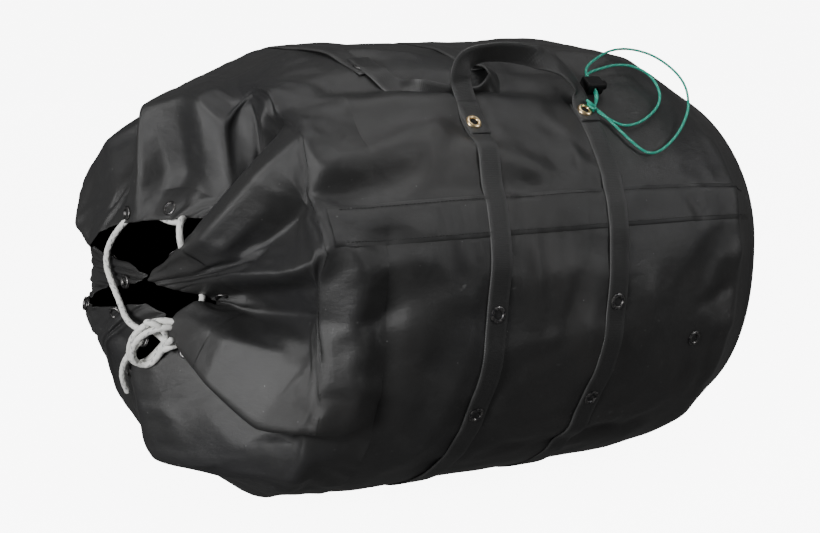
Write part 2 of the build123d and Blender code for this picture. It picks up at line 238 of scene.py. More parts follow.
OUTER_LOOP_ROUTE = (
    (139, -204, 430), (147, -199, 437), (155, -188.6, 446.7), (155, -170.6, 462.5),
    (159, -161, 467), (168, -151, 474), (189, -139, 482), (219, -128, 492), (255, -121, 493),
    (282, -137, 483), (292, -172, 458), (279, -199, 430), (255, -217, 409), (229, -232, 394),
    (203, -240, 382), (184, -242, 381), (169, -234, 394), (158, -222, 409), (149, -211, 422),
    (141, -204, 430),
)
INNER_LOOP_ROUTE = (
    (139, -203, 430), (146, -198, 434), (155, -186.8, 444.7), (155, -168.8, 460.5),
    (160, -160, 464), (172, -154, 468), (190, -148, 471), (212, -144, 475), (238, -144, 474),
    (254, -157, 464), (253, -177, 446), (239, -194, 432), (217, -208, 422), (193, -217, 413),
    (170, -220, 410), (153, -215, 417), (142, -206, 427),
)


# ---- the fabric shell, in millimetres

MOUTH = np.array((-298.0, -30.0, 0.0))
MOUTH_TILT = math.radians(25.0)
ACROSS = np.array((math.sin(MOUTH_TILT), -math.cos(MOUTH_TILT), 0.0))
OUT = np.array((-math.cos(MOUTH_TILT), -math.sin(MOUTH_TILT), 0.0))


def mouth_point(across, height, out):
    """Point given in the mouth's plane, and how far out of it."""
    return MOUTH + ACROSS * across + np.array((0, 0, 1.0)) * height + OUT * out


HALF_WIDTH, RISE, DROP = 272.0, 235.0, 267.0
TOP_POWER, UNDER_POWER, FLAT_ANGLE = 2.08, 2.3, 14.0
FLAT_SHARE = math.sin(math.radians(90 - FLAT_ANGLE)) ** (2 / UNDER_POWER)
AXIS_Z = DROP * FLAT_SHARE + 2.75
FOLD_X, SHOULDER_X, NECK_X, BASE_X, END_X = -150.0, -186.0, -216.0, 346.0, 366.0
# Section of the wall along its length: x, then the shares of half width, drop and rise.
STATIONS = np.array((
    (NECK_X, 0.925, 0.970, 0.955), (-116.0, 0.985, 1.000, 0.990), (-66.0, 1.000, 1.000, 1.000),
    (134.0, 1.000, 1.000, 1.000), (226.0, 0.990, 1.000, 0.985), (294.0, 0.950, 0.965, 0.920),
    (BASE_X, 0.860, 0.870, 0.800), (END_X, 0.780, 0.780, 0.700),
))


def ring(half_width, drop, rise, angle):
    """Across and up of a rounded section with a flat underside, at each angle in degrees."""
    angle = (np.asarray(angle, float) + 90) % 360 - 90
    down = np.where(angle < 90, angle + 90, angle - 270)
    c, s = np.cos(np.radians(angle)), np.sin(np.radians(angle))
    power = np.where(s >= 0, TOP_POWER, UNDER_POWER)
    across = half_width * np.sign(c) * np.abs(c) ** (2 / power)
    up = np.where(s >= 0, rise, drop) * np.sign(s) * np.abs(s) ** (2 / power)
    flat = np.abs(down) < FLAT_ANGLE
    corner = half_width * math.sin(math.radians(FLAT_ANGLE)) ** (2 / UNDER_POWER)
    return np.where(flat, corner * down / FLAT_ANGLE, across), np.where(flat, -drop * FLAT_SHARE, up)


def wall(x, angle):
    """Point on the outside of the wall, for arrays of x and angle."""
    x = np.asarray(x, float)
    width, drop, rise = (np.interp(x, STATIONS[:, 0], STATIONS[:, i]) for i in (1, 2, 3))
    across, up = ring(HALF_WIDTH * width, DROP * drop, RISE * rise, angle)
    return np.stack([x + 0 * across, -across, AXIS_Z + up], axis=-1)


def wall_normal(x, angle):
    """Outward direction of the wall, for arrays of x and angle."""
    along = wall(np.asarray(x) + 3.0, angle) - wall(np.asarray(x) - 3.0, angle)
    round_it = wall(x, np.asarray(angle) + 1.5) - wall(x, np.asarray(angle) - 1.5)
    return unit(np.cross(along, round_it))


START_ANGLE = 140.0
# Pleats of the gathered neck. Each row: angle at the neck seam, how far the body and the seam stand
# proud there, then across, height and out at the shoulder, near the mouth and at the hem.
PLEATS = (
    (140, 0, -6, (-180, 346, -60), (-156, 300, -20), (-122, 274, -12)),
    (130, -2, -8, (-162, 372, -66), (-128, 322, -30), (-108, 286, -6)),
    (122, -4, -10, (-139, 390, -58), (-86, 340, -18), (-92, 296, 0)),
    (114, -6, -16, (-104, 398, -84), (-66, 350, -34), (-66, 306, 0)),
    (107, -8, -20, (-40, 430, -24), (-46, 354, -4), (-46, 311, 4)),
    (102, -8, -20, (-30, 434, -6), (-25, 357, 8), (-30, 313, 6)),
    (95, -8, -20, (-10, 438, -8), (-4, 361, -16), (-10, 316, 4)),
    (88, -8, -20, (20, 447, -12), (20, 366, -22), (10, 318, 4)),
    (81, -8, -20, (50, 444, -6), (50, 364, -14), (28, 320, 3)),
    (74, -6, -16, (80, 423, -16), (82, 353, -18), (50, 321, 0)),
    (66, -4, -4, (96, 440, -40), (98, 352, -44), (72, 319, -8)),
    (58, 0, 4, (118, 418, -30), (98, 340, -54), (80, 308, -20)),
    (51, 0, -8, (140, 388, -56), (94, 322, -54), (60, 292, -26)),
    (44, 6, 6, (140, 392, 4), (78, 330, 14), (20, 272, 10)),
    (38, 10, 14, (152, 370, 26), (84, 306, 34), (0, 262, 20)),
    (32, 6, 4, (170, 348, 12), (104, 294, 22), (-1, 254, 20)),
    (25, -4, -14, (176, 326, -12), (114, 282, 4), (8, 249, 15)),
    (17, 0, 0, (192, 304, 8), (124, 278, 16), (22, 246, 12)),
    (9, 10, 14, (206, 283, 30), (128, 270, 34), (36, 244, 8)),
    (3, 6, -4, (206, 264, -2), (122, 248, -14), (58, 238, -14)),
    (-5, -2, -14, (194, 232, -22), (118, 224, -28), (68, 228, -14)),
    (-12, 2, -4, (198, 208, -4), (118, 214, 4), (58, 236, 8)),
    (-18, 6, 6, (196, 188, 6), (115, 207, 26), (40, 222, 20)),
    (-29, 10, 14, (156, 118, 34), (96, 158, 42), (28, 202, 24)),
    (-35, -2, -14, (138, 110, -18), (82, 148, -12), (32, 192, -4)),
    (-42, 0, -2, (104, 86, 0), (46, 130, 2), (18, 186, 4)),
    (-50, 0, 4, (46, 60, 4), (12, 116, 12), (-6, 170, 14)),
    (-56, 0, 0, (-14, 52, 6), (-26, 110, 16), (-34, 157, 14)),
    (-63, 0, -2, (-30, 50, -18), (-46, 106, -8), (-49, 162, 8)),
    (-70, 0, -4, (-50, 62, -26), (-60, 130, -14), (-28, 187, -4)),
    (-80, 0, 0, (-74, 78, -30), (-68, 152, -6), (6, 211, -4)),
    (-92, 0, 0, (-100, 96, -36), (-80, 172, 6), (-24, 223, 2)),
    (-104, 0, 0, (-124, 126, -44), (-94, 176, 0), (-60, 218, 4)),
    (-118, 0, 0, (-144, 150, -56), (-116, 180, -6), (-96, 211, 0)),
    (-134, 0, 0, (-172, 170, -78), (-140, 198, -14), (-131, 213, -8)),
    (-152, 0, 0, (-190, 206, -96), (-160, 216, -50), (-124, 224, -18)),
    (-166, 0, 0, (-192, 230, -94), (-152, 234, -40), (-84, 236, -10)),
    (-176, 0, 0, (-192, 248, -90), (-122, 246, -22), (-36, 243, 2)),
    (-186, 0, 0, (-192, 264, -88), (-120, 257, -14), (-16, 256, 6)),
    (-196, 0, 0, (-192, 284, -88), (-128, 266, -24), (-46, 266, 0)),
    (-208, 0, 0, (-190, 314, -82), (-154, 280, -42), (-86, 262, -18)),
)
STOPS = np.array([START_ANGLE - p[0] for p in PLEATS])
GAPS = np.diff(np.append(STOPS, 360.0))
COLUMN_GAP = 1.75
PER_GAP = np.maximum(2, np.round(GAPS / COLUMN_GAP)).astype(int)
TURNS = np.concatenate([stop + gap * np.arange(n) / n for stop, gap, n in zip(STOPS, GAPS, PER_GAP)])
CLOSED_TURNS = np.append(TURNS, 360.0)
ANGLES = START_ANGLE - TURNS
COLUMNS = len(TURNS)
CRISP = 0.75
ROUNDNESS = 0.45
NECK_ROWS = 34


def periodic_cubic(stops, values, at):
    """Smooth closed curve through the stops that never overshoots them."""
    count = len(stops)
    ext_t = np.concatenate([stops[-2:] - 360, stops, stops[:3] + 360])
    ext_v = np.concatenate([values[-2:], values, values[:3]])
    step_t = np.diff(ext_t)[:, None]
    slope = np.diff(ext_v, axis=0) / step_t
    before, after = slope[:-1], slope[1:]
    w1, w2 = 2 * step_t[1:] + step_t[:-1], step_t[1:] + 2 * step_t[:-1]
    same = before * after > 0
    safe_b, safe_a = np.where(same, before, 1.0), np.where(same, after, 1.0)
    tangent = np.where(same, (w1 + w2) / (w1 / safe_b + w2 / safe_a), 0.0)
    i = np.clip(np.searchsorted(ext_t, at, side="right") - 1, 1, len(ext_t) - 3)
    h = (ext_t[i + 1] - ext_t[i])[:, None]
    t = ((at - ext_t[i])[:, None]) / h
    m0, m1 = tangent[i - 1] * h, tangent[i] * h
    return ((2 * t**3 - 3 * t**2 + 1) * ext_v[i] + (t**3 - 2 * t**2 + t) * m0
            + (3 * t**2 - 2 * t**3) * ext_v[i + 1] + (t**3 - t**2) * m1)


def through(levels, count):
    """Rows of points on a smooth curve through the levels, each an array of points."""
    levels = [2 * levels[0] - levels[1]] + levels + [2 * levels[-1] - levels[-2]]
    lengths = [np.linalg.norm(b - a, axis=1).mean() for a, b in zip(levels[1:-1], levels[2:-1])]
    rows = []
    for i, length in enumerate(lengths):
        p0, p1, p2, p3 = levels[i:i + 4]
        steps = max(2, round(count * length / sum(lengths)))
        for k in range(steps):
            t = k / steps
            rows.append((1 - ROUNDNESS) * (p1 + (p2 - p1) * t) + ROUNDNESS * curve_point(p0, p1, p2, p3, t))
    rows.append(levels[-2])
    return rows


def folded(values):
    """Values of the pleats at every column: mostly straight between pleats, so each pleat keeps a fold."""
    values = np.asarray(values, float)
    stops, closed = np.append(STOPS, 360.0), np.concatenate([values, values[:1]])
    straight = np.stack([np.interp(TURNS, stops, closed[:, i]) for i in range(values.shape[1])], axis=1)
    return CRISP * straight + (1 - CRISP) * periodic_cubic(STOPS, values, TURNS)


def neck_rows():
    """Rows from the body to the hem, each with one point per column."""
    lifts = folded([(p[1], p[2]) for p in PLEATS])
    levels = [wall(FOLD_X, ANGLES),
              wall(SHOULDER_X, ANGLES) + wall_normal(SHOULDER_X, ANGLES) * lifts[:, :1],
              wall(NECK_X, ANGLES) + wall_normal(NECK_X + 4, ANGLES) * lifts[:, 1:]]
    levels += [folded([mouth_point(*p[which]) for p in PLEATS]) for which in (3, 4, 5)]
    rows = through(levels, NECK_ROWS)
    for row in rows:
        x = np.minimum(row[:, 0], FOLD_X)
        lift = fold_height(x) * step(-222.0, -196.0, row[:, 0]) * off_floor()
        row += wall_normal(FOLD_X, ANGLES) * lift[:, None]
    return rows


# Millimetres of wall to a degree, and the places where it lies quiet: x and angle.
ARC = 4.6
QUIET_SPOTS = ((-22.0, 40.0), (127.0, 43.0), (-30.0, -5.0), (-36.0, -28.0), (124.0, -6.0), (110.0, -29.0),
               (246.0, -17.0), (-98.0, 66.0), (36.0, 66.0))
# Folds pressed into the wall: x and angle at both ends, half width and height in millimetres.
WALL_FOLDS = (
    (-150, 49, 66, 46, 26, 10.5), (-150, 57, 66, 54, 26, -10), (-200, 30, -72, 38, 26, 10),
    (-192, 23, -98, 27, 22, -9), (-72, 38, -98, 25, 15, 6), (-38, 33, 38, 26, 20, 8),
    (-96, 23, 20, 22, 15, -5), (-168, 5, -116, 7, 24, 9), (-166, -5, -108, 0, 18, -6),
    (250, -9, 300, -6, 14, -6), (248, -15, 304, -15, 18, 6), (-186, 11, -181, -25, 26, 12),
    (-152, 9, -150, -30, 24, -6), (30, -46, 215, -47, 22, -7), (40, -39, 215, -39, 18, 5),
    (302, 36, 306, 2, 16, 6), (306, 2, 296, -32, 16, 6), (60, 33, 120, 24, 18, 5),
    (170, 38, 236, 22, 26, 6), (190, 30, 250, 12, 20, -6), (-60, -10, -96, -44, 26, 6),
    (-120, -12, -60, -20, 22, -5), (60, -2, 110, -22, 28, 6), (90, 6, 60, -12, 18, -5),
    (170, -4, 220, -26, 26, 6), (-120, 88, 20, 96, 30, -6), (60, 74, 250, 66, 30, 7),
    (90, 62, 240, 55, 26, -6), (160, 100, 260, 90, 30, 6), (-196, 20, -166, 15, 18, 7),
    (-188, 12, -148, 12, 12, -4), (-150, 17, -110, 12, 14, 4), (-58, 19, -52, 6, 12, 4),
    (-78, 18, -70, 5, 12, 4), (-100, 16, -96, 3, 12, 4), (-8, 18, -4, 8, 11, 4), (14, 14, 22, -8, 16, 4),
    (60, 12, 66, -6, 18, -4), (-176, 0, -172, -12, 13, 5), (-178, -18, -140, -22, 14, 5),
    (-110, 75, -30, 70, 22, 5), (-120, 150, 60, 160, 40, 7), (80, 175, 220, 150, 36, -7),
    (-60, 190, 120, 200, 36, 6),
)


def turn_from(middle):
    """Degrees from the middle angle to each column, in -180..180."""
    return (ANGLES - middle + 180) % 360 - 180


def away_from(x, place):
    """Millimetres along the wall from a place given as x and angle, at each column."""
    return np.hypot(x - place[0], ARC * turn_from(place[1]))


def off_floor():
    """Share of the folds that stays at each column: little on the underside, which lies pressed flat."""
    return 0.2 + 0.8 * step(18.0, 40.0, np.abs(turn_from(-90.0)))


def fold_height(x):
    """How far the pressed folds stand in or out at each column."""
    x = np.broadcast_to(np.asarray(x, float), np.shape(ANGLES))
    total = np.zeros(COLUMNS)
    for x0, a0, x1, a1, half_width, height in WALL_FOLDS:
        across, along = ARC * turn_from(a0), x - x0
        run = np.array((x1 - x0, ARC * (a1 - a0)))
        share = np.clip((along * run[0] + across * run[1]) / (run @ run), 0, 1)
        away = np.hypot(along - share * run[0], across - share * run[1])
        ends = 0.45 + 0.55 * np.sin(np.pi * (0.15 + 0.7 * share))
        total += height * ends * np.clip(1 - away / half_width, 0, 1) ** 1.15
    return total


def quiet_near_eyelets(x):
    """Share of the folds that stays near the eyelets and strap ends, which hold the fabric flat."""
    quiet = np.ones(COLUMNS)
    for place in QUIET_SPOTS:
        quiet = quiet * step(10.0, 34.0, away_from(x, place))
    return quiet


LANYARD_LIES, LOCK_LIES = (205.0, 36.0), (155.0, 51.0)


def wall_lift(x):
    """How far the loose wall stands in or out, in millimetres: quiet at the base seam and the eyelets."""
    place = wall(x, ANGLES)
    drift = noise3(place, 1 / 90.0, 5)[:, None] * 22
    broad = noise3(place, 1 / 125.0, 11)
    creased = 1 - np.abs(noise3(place + drift, 1 / 80.0, 23)) * 2
    fine = 1 - np.abs(noise3(place * (0.6, 1.0, 1.0) + drift, 1 / 34.0, 31)) * 2
    soft = 4.5 * broad + 3.2 * np.clip(creased, 0, 1) ** 1.5 + 1.9 * np.clip(fine, 0, 1) ** 1.5
    ends = step(0.0, 46.0, x - FOLD_X) * step(-4.0, 50.0, BASE_X - x)
    lift = soft * ends + fold_height(x) * step(0.0, 22.0, BASE_X - x)
    lift = np.clip(lift, -13.0, 11.0) * quiet_near_eyelets(x) * off_floor()
    under_cord = step(100.0, 60.0, away_from(x, LANYARD_LIES))
    under_lock = step(52.0, 22.0, away_from(x, LOCK_LIES))
    lift = lift - np.maximum(lift + 1.0, 0) * under_cord
    return lift - np.maximum(lift + 3.5, 0) * under_lock


def body_rows():
    """Rows from the fold line to the base seam, with soft dents that die away at eyelets and seams."""
    stops = np.concatenate([np.arange(FOLD_X, BASE_X - 2, 7.0), [BASE_X]])
    return [wall(x, ANGLES) + wall_normal(x, ANGLES) * wall_lift(x)[:, None] for x in stops]


def base_rows():
    """Rows over the rounded edge of the closed end and in towards its middle."""
    rows = []
    rim, edge = wall(BASE_X, ANGLES), wall(END_X, ANGLES)
    middle = np.array((END_X - 1.0, 0.0, AXIS_Z - 12.0))
    for t in (0.35, 0.7, 1.0):
        turn = t * math.pi / 2
        corner = rim + (edge - rim) * (1 - math.cos(turn))
        corner[:, 0] = BASE_X + (END_X - BASE_X) * math.sin(turn)
        rows.append(corner)
    for share in (0.94, 0.86, 0.76, 0.64, 0.5, 0.36, 0.22, 0.1):
        rows.append(middle + (edge - middle) * share)
    return rows


def build_shell():
    """Points and faces of the shell from hem to closed end, and how many rows its neck and body have."""
    neck = neck_rows()[::-1]
    body = body_rows()
    rows = neck[:-1] + body + base_rows()
    faces = grid_faces(len(rows), COLUMNS)
    last = (len(rows) - 1) * COLUMNS
    faces.append(tuple(range(last, last + COLUMNS)))
    return np.concatenate(rows), faces, len(neck) - 1, len(body)


CLOTH = dict(quality=7, mass=0.12, air_damping=2.0, tension_stiffness=60, compression_stiffness=60,
             shear_stiffness=30, bending_stiffness=0.6, tension_damping=25, compression_damping=25,
             shear_damping=25, bending_damping=1.0, vertex_group_mass="held", pin_stiffness=1.0)


def settle(obj, pinned, frames, grow, farthest):
    """Cloth simulation of obj. pinned is how firmly each vertex is held; none ends farther from its start."""
    group = obj.vertex_groups.new(name="held")
    for level in np.unique(np.round(pinned, 2)):
        if level > 0:
            group.add(np.nonzero(np.round(pinned, 2) == level)[0].tolist(), float(level), "REPLACE")
    start = np.array([v.co for v in obj.data.vertices])
    cloth = obj.modifiers.new("cloth", "CLOTH")
    for key, value in CLOTH.items():
        setattr(cloth.settings, key, value)
    cloth.settings.shrink_min = -grow
    cloth.collision_settings.use_collision = False
    cloth.collision_settings.use_self_collision = True
    cloth.collision_settings.self_distance_min = 0.0025
    cloth.collision_settings.self_friction = 8
    cloth.point_cache.frame_start = 1
    cloth.point_cache.frame_end = frames
    for frame_number in range(1, frames + 1):
        SCENE.frame_set(frame_number)
    mesh = obj.evaluated_get(bpy.context.evaluated_depsgraph_get()).to_mesh()
    shift = np.array([v.co for v in mesh.vertices]) - start
    far = np.linalg.norm(shift, axis=1)
    shift *= np.minimum(1, farthest / np.maximum(far, 1e-9))[:, None]
    SCENE.frame_set(1)
    return start + shift


# ---- materials

class Nodes:
    """A material's node tree, with short calls to add and join nodes."""

    def __init__(self, name):
        self.material = bpy.data.materials.new(name)
        self.material.use_nodes = True
        self.tree = self.material.node_tree
        self.shader = self.tree.nodes["Principled BSDF"]

    def node(self, kind, *values, **settings):
        """New node with these settings; the values go to its first inputs."""
        node = self.tree.nodes.new("ShaderNode" + kind)
        for key, value in settings.items():
            setattr(node, key, value)
        for socket, value in zip(node.inputs, values):
            self.plug(value, socket)
        return node

    def plug(self, value, socket):
        """Join a socket to another, or give it a value."""
        if isinstance(value, bpy.types.NodeSocket):
            self.tree.links.new(value, socket)
        else:
            socket.default_value = value

    def math(self, operation, a, b=0.0):
        return self.node("Math", a, b, operation=operation).outputs[0]

    def wave(self, value, period):
        return self.math("SINE", self.math("MULTIPLY", value, 2 * math.pi / period))

    def ramp(self, value, *stops):
        node = self.node("ValToRGB", value)
        elements = node.color_ramp.elements
        while len(elements) < len(stops):
            elements.new(0.5)
        for element, (at, color) in zip(elements, stops):
            element.position = at
            element.color = color
        return node.outputs[0]

    def mix(self, share, a, b):
        """Colour between a and b."""
        node = self.node("Mix", share, data_type="RGBA")
        self.plug(a, node.inputs[6])
        self.plug(b, node.inputs[7])
        return node.outputs[2]

    def noise(self, where, scale, detail=4.0, rough=0.55):
        node = self.node("TexNoise", where)
        node.inputs["Scale"].default_value = scale
        node.inputs["Detail"].default_value = detail
        node.inputs["Roughness"].default_value = rough
        return node.outputs[0]

    def place(self):
        return self.node("TexCoord").outputs["Object"]

    def sides(self):
        """Distances across and along the surface."""
        return self.node("SeparateXYZ", self.node("TexCoord").outputs["UV"]).outputs[:2]

    def stretched(self, vector, scale):
        node = self.node("Mapping", vector)
        node.inputs["Scale"].default_value = scale
        return node.outputs[0]

    def bump(self, height, distance, strength, onto=None):
        node = self.node("Bump")
        self.plug(height, node.inputs["Height"])
        node.inputs["Distance"].default_value = distance
        node.inputs["Strength"].default_value = strength
        if onto is not None:
            self.plug(onto, node.inputs["Normal"])
        return node.outputs[0]

    def finish(self, color, rough, normal, metallic=0.0, specular=0.5):
        for key, value in (("Base Color", color), ("Roughness", rough), ("Normal", normal),
                           ("Metallic", metallic), ("Specular IOR Level", specular)):
            self.plug(value, self.shader.inputs[key])
        return self.material


def grey(value, tint=(1, 1, 1)):
    """Opaque colour of one brightness, tinted."""
    return (*(value * t for t in tint), 1)


NOTHING, ALL = grey(0), grey(1)


def coated_fabric(name, shade=1.0):
    """Black PVC-coated polyester: faint grid weave, soft creases, dusty bloom, scuffs and pinprick specks."""
    m = Nodes(name)
    where = m.place()
    across, along = m.sides()
    weave = m.math("MULTIPLY", m.wave(across, 0.0011), m.wave(along, 0.0011))
    base = m.ramp(m.noise(where, 5.0, 3.0), (0.3, grey(0.0165 * shade, (1.0, 1.0, 1.08))),
                  (0.5, grey(0.021 * shade)), (0.72, grey(0.026 * shade, (1.04, 1.0, 0.98))))
    bloom = m.ramp(m.noise(where, 38.0, 6.0, 0.65), (0.55, NOTHING), (0.85, ALL))
    color = m.mix(m.math("MULTIPLY", bloom, 0.35), base, grey(0.055 * shade))
    streaks = m.noise(m.stretched(where, (14, 90, 30)), 1.6, 5.0, 0.7)
    scuffs = m.ramp(streaks, (0.69, NOTHING), (0.76, ALL))
    color = m.mix(m.math("MULTIPLY", scuffs, 0.5), color, grey(0.12 * shade))
    specks = m.node("TexVoronoi", where)
    specks.inputs["Scale"].default_value = 62.0
    near = m.math("LESS_THAN", specks.outputs["Distance"], 0.035)
    color = m.mix(m.math("MULTIPLY", near, 0.5), color, grey(0.3))
    rough = m.math("ADD", m.math("MULTIPLY", m.noise(where, 22.0, 5.0), 0.2), 0.32)
    creases = m.noise(m.stretched(where, (1.0, 1.0, 1.6)), 26.0, 5.0, 0.6)
    normal = m.bump(m.math("ABSOLUTE", m.math("SUBTRACT", creases, 0.5)), 0.0025, 0.4)
    normal = m.bump(m.noise(where, 9.0, 3.0, 0.5), 0.012, 0.35, normal)
    normal = m.bump(weave, 0.00022, 0.35, normal)
    return m.finish(color, rough, normal)


def strap_material(name):
    """Flat satin strap: fine ribs along its length, slightly paler edges in noisy patches."""
    m = Nodes(name)
    across, along = m.sides()
    where = m.place()
    # The edges are coloured paler in noisy patches; the same noise varies the roughness.
    edge = m.ramp(m.math("ABSOLUTE", across), (0.0098, NOTHING), (0.0122, ALL))
    patches = m.noise(where, 60.0, 5.0, 0.7)
    color = m.mix(m.noise(where, 14.0, 3.0), grey(0.017), grey(0.024))
    color = m.mix(m.math("MULTIPLY", edge, patches), color, grey(0.075))
    rough = m.math("ADD", m.math("MULTIPLY", patches, 0.18), 0.34)
    ribs, picks = m.wave(across, 0.0013), m.wave(along, 0.0018)
    return m.finish(color, rough, m.bump(m.math("ADD", ribs, m.math("MULTIPLY", picks, 0.6)), 0.00018, 0.5))


def metal(name, color, worn_color, rough):
    """Rolled metal with worn high spots and fine scratches."""
    m = Nodes(name)
    where = m.place()
    wear = m.ramp(m.noise(where, 420.0, 4.0, 0.7), (0.42, NOTHING), (0.66, ALL))
    tone = m.mix(wear, (*color, 1), (*worn_color, 1))
    scratches = m.noise(m.stretched(where, (900, 2600, 900)), 1.0, 2.0)
    return m.finish(tone, m.math("ADD", m.math("MULTIPLY", scratches, 0.22), rough),
                    m.bump(scratches, 0.00008, 0.5), 1.0)


def braid_material(name, color, fleck, pitch, flecks):
    """Braided cord: strand shading from its own relief, with a diagonal tracer yarn."""
    m = Nodes(name)
    across, along = m.sides()
    spiral = m.math("FRACT", m.math("ADD", m.math("MULTIPLY", across, 2.0), m.math("DIVIDE", along, pitch)))
    dashes = m.math("FRACT", m.math("DIVIDE", along, pitch * 0.23))
    tracer = m.math("MULTIPLY", m.math("LESS_THAN", spiral, flecks), m.math("LESS_THAN", dashes, 0.5))
    fuzz = m.noise(m.place(), 900.0, 4.0, 0.7)
    tone = m.mix(m.math("MULTIPLY", fuzz, 0.55), (*color, 1), grey(0.72, color))
    tone = m.mix(m.math("MULTIPLY", tracer, 0.75), tone, (*fleck, 1))
    rough = m.math("ADD", m.math("MULTIPLY", fuzz, 0.2), 0.6)
    return m.finish(tone, rough, m.bump(fuzz, 0.0003, 0.7), specular=0.3)


def moulded_plastic(name):
    """Black plastic with a fine moulded grain."""
    m = Nodes(name)
    where = m.place()
    grain = m.noise(where, 1500.0, 3.0)
    color = m.mix(m.noise(where, 90.0, 3.0), (0.003, 0.003, 0.0032, 1), grey(0.007))
    rough = m.math("ADD", m.math("MULTIPLY", grain, 0.25), 0.5)
    return m.finish(color, rough, m.bump(grain, 0.00012, 0.6), specular=0.22)


FABRIC = coated_fabric("coated_fabric_body")
NECK_FABRIC = coated_fabric("coated_fabric_neck", 1.12)
STRAP = strap_material("satin_strap")
BRASS = metal("rolled_brass", (0.74, 0.53, 0.27), (0.93, 0.78, 0.52), 0.2)
DARK_METAL = metal("blackened_metal", (0.045, 0.045, 0.05), (0.3, 0.29, 0.28), 0.3)
SPRING_STEEL = metal("spring_wire", (0.52, 0.52, 0.54), (0.75, 0.75, 0.76), 0.22)
WHITE_BRAID = braid_material("white_braid", (0.86, 0.86, 0.83), (0.28, 0.29, 0.31), 0.03, 0.16)
TEAL_BRAID = braid_material("teal_braid", (0.02, 0.36, 0.25), (0.3, 0.75, 0.6), 0.012, 0.2)
PLASTIC = moulded_plastic("black_moulded_plastic")
# Near-black material painted into the near brass eyelets' holes as the shadow inside them.
EYELET_HOLE_SHADOW = braid_material("painted_eyelet_hole_shadow", (0.004, 0.004, 0.004), (0.006, 0.006, 0.006), 0.004, 0.3)
THREAD = braid_material("black_thread", (0.018, 0.018, 0.019), (0.04, 0.04, 0.04), 0.003, 0.4)


def dress(material, *names):
    """Give CAD nodes that stay their material."""
    for name in names:
        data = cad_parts[name].data
        data.materials.clear()
        data.materials.append(material)


# ---- the fabric pieces

verts, faces, neck_count, body_count = build_shell()


def settled_neck():
    """The neck's points after a short cloth simulation: firm at the hem, fast where it meets the body."""
    rows = neck_count + 4
    row = np.repeat(np.arange(rows), COLUMNS)
    held = np.full(rows * COLUMNS, 0.45)
    held[row >= rows - 3] = 1.0
    held[row <= 2] = 0.5
    held[row == 0] = 0.8
    part = new_object("neck_part", verts[:rows * COLUMNS] / 1000, grid_faces(rows, COLUMNS))
    moved = settle(part, held, frames=12, grow=0.02, farthest=0.005) * 1000
    bpy.data.objects.remove(part)
    return moved


neck_points = settled_neck()
verts[:len(neck_points)] = neck_points
SKIN_GRID = verts.reshape(-1, COLUMNS, 3) / 1000
skin = BVHTree.FromPolygons([Vector(v / 1000) for v in verts], faces)
GIRTH = 1.57


def fabric_piece(name, first, last, material, close=False):
    """Rows first..last of the shell as their own piece, with fabric coordinates in metres."""
    grid = SKIN_GRID[first:last]
    piece_faces = grid_faces(last - first, COLUMNS)
    if close:
        piece_faces.append(tuple(range((last - first - 1) * COLUMNS, (last - first) * COLUMNS)))
    obj = new_object(name, grid.reshape(-1, 3), piece_faces, material)
    steps = np.linalg.norm(np.diff(grid, axis=0), axis=2)
    down = np.concatenate([np.zeros((1, COLUMNS)), np.cumsum(steps, axis=0)]).mean(axis=1)
    unwrap(obj, COLUMNS, lambda row, column: (CLOSED_TURNS[column] / 360.0 * GIRTH, down[row]))
    soften(obj)
    return obj


BODY_END = neck_count + body_count
neck_piece = fabric_piece("neck_skirt_fabric", 0, neck_count + 1, NECK_FABRIC)
body_piece = fabric_piece("body_panel_fabric", neck_count, BODY_END, FABRIC)
base_piece = fabric_piece("base_disc_fabric", BODY_END - 1, len(SKIN_GRID), FABRIC, True)
for piece, node in ((neck_piece, "neck_skirt"), (body_piece, "body_panel"), (base_piece, "base_disc")):
    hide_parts(node)


def on_skin(x, angle):
    """Point and outward direction on the finished fabric at a place on the wall, in metres."""
    base, normal = wall(x, angle), wall_normal(x, angle)
    hit = skin.ray_cast(Vector((base + normal * 45) / 1000), Vector(-normal), 0.12)[0]
    if hit is None:
        hit = Vector(base / 1000)
    return np.array(hit), np.array(Vector(normal))


# ---- straps and handles

# Each band's route over the bag: angle and x.
BAND_ROUTES = (
    ((46.0, -20.0), (0.0, -28.0), (-30.0, -36.0), (-90.0, -48.0), (-180.0, -84.0), (-235.0, -118.0),
     (-262.0, -131.0), (-280.0, -124.0), (-299.0, -98.0)),
    ((46.0, 128.0), (0.0, 126.0), (-30.0, 113.0), (-90.0, 102.0), (-180.0, 66.0), (-235.0, 30.0),
     (-262.0, 18.0), (-280.0, 22.0), (-299.0, 36.0)),
)
HALF_STRAP = 0.0125
# Across in half widths and height in thicknesses. Height 0 is the underside, which a strap can sink lower.
STRAP_SECTION = ((-1.0, 0.15), (-0.985, 0.8), (-0.93, 1.0), (-0.5, 1.0), (0.0, 1.0), (0.5, 1.0), (0.93, 1.0),
                 (0.985, 0.8), (1.0, 0.15), (0.97, 0), (0.5, 0), (-0.5, 0), (-0.97, 0))


def band_x(route, angle):
    """Route's x at an angle, eased over its corners as the stitched strap is."""
    stops = np.array(route)[::-1]
    near = [np.clip(angle + d, stops[0, 0], stops[-1, 0]) for d in (-8, -4, 0, 4, 8)]
    return sum(np.interp(near, stops[:, 0], stops[:, 1])) / len(near)


def strip(name, centres, across, normals, thick, sunk=0.0):
    """Flat strap of rounded edges along a line: centres are its underside, normals point to its top."""
    count, sides = len(centres), len(STRAP_SECTION)
    points = []
    for centre, side, up in zip(centres, across, normals):
        for s, t in STRAP_SECTION:
            points.append(centre + side * HALF_STRAP * s + up * (thick * (t if t else -sunk)))
    strip_faces = [f[::-1] for f in grid_faces(count, sides)]
    strip_faces.append(tuple(range(sides)))
    strip_faces.append(tuple(reversed(range((count - 1) * sides, count * sides))))
    obj = new_object(name, points, strip_faces, STRAP)
    run = distances(centres)
    unwrap(obj, sides, lambda row, column: (HALF_STRAP * STRAP_SECTION[column % sides][0], run[row]))
    return obj


